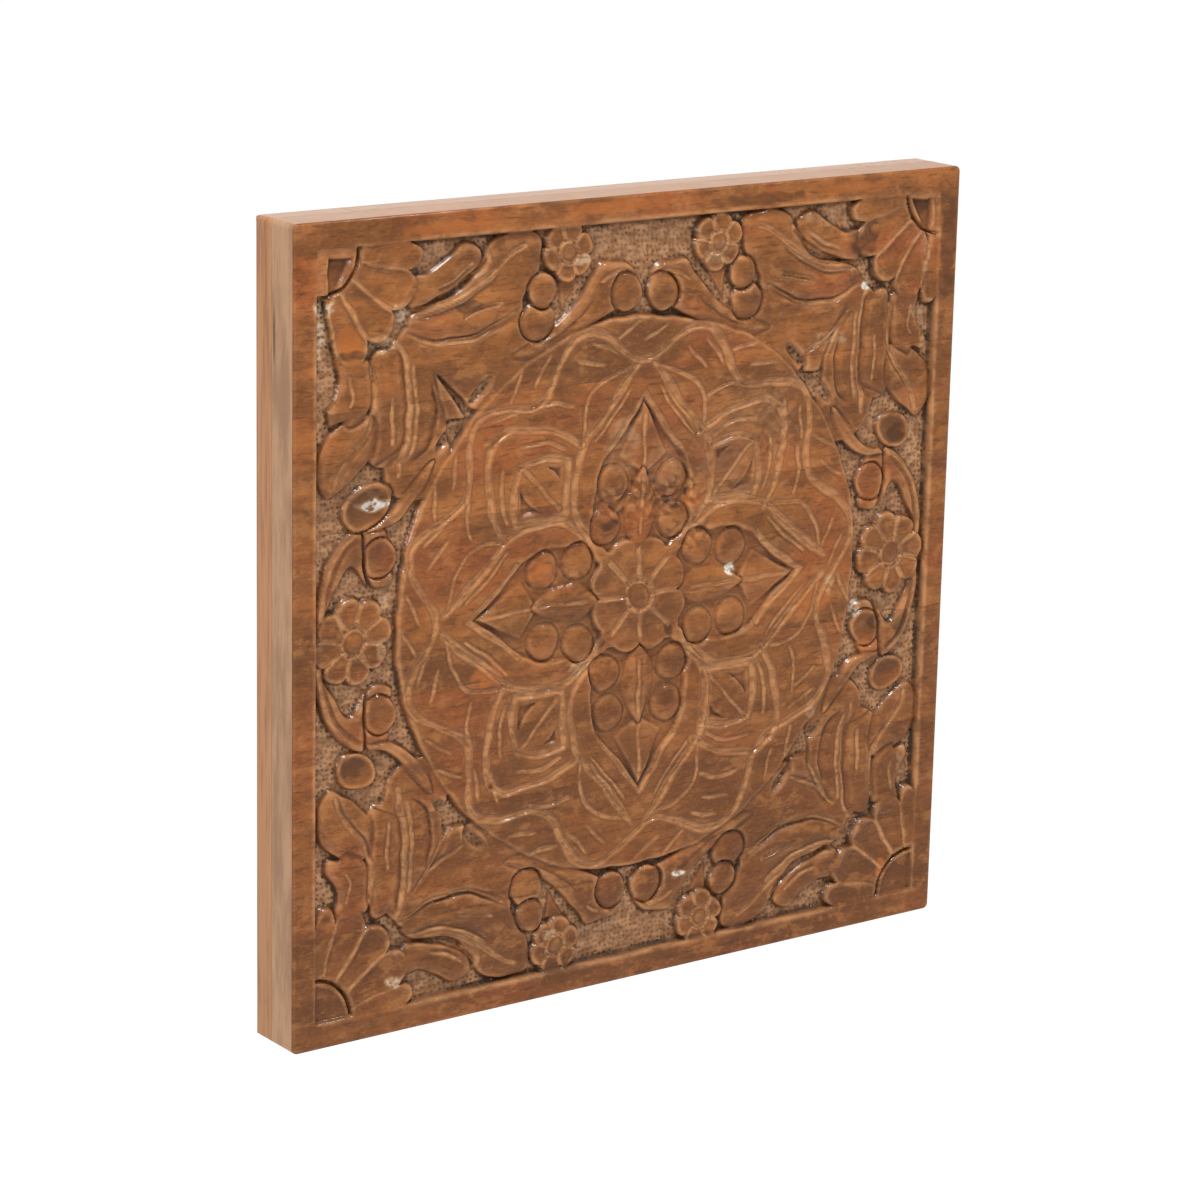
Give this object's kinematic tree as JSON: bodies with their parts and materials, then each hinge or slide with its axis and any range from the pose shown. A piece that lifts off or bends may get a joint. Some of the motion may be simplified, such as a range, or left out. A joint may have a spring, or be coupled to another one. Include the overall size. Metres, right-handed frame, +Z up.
{
  "type": "carved wooden wall panel",
  "caption": "Square wooden wall panel carved in low relief: a round medallion with crossed petals inside a border of leaves and flowers, on a frame of battens that lies on the wall.",
  "frame": {"origin": "middle of the top batten's back face, where the panel lies on the wall", "axes": "+Z up, +X to the right for someone who faces the panel, +Y into the wall; the carved face looks along -Y"},
  "size_m": [0.4, 0.034, 0.4],
  "materials": {
    "carved_wood": "satin brown lacquer, lighter in the cuts",
    "batten_wood": "thin satin lacquer over planed wood"
  },
  "bodies": {
    "root": {"carved_panel": "carved_wood", "batten_left": "batten_wood", "batten_right": "batten_wood", "batten_top": "batten_wood", "batten_bottom": "batten_wood"}
  },
  "joints": []
}
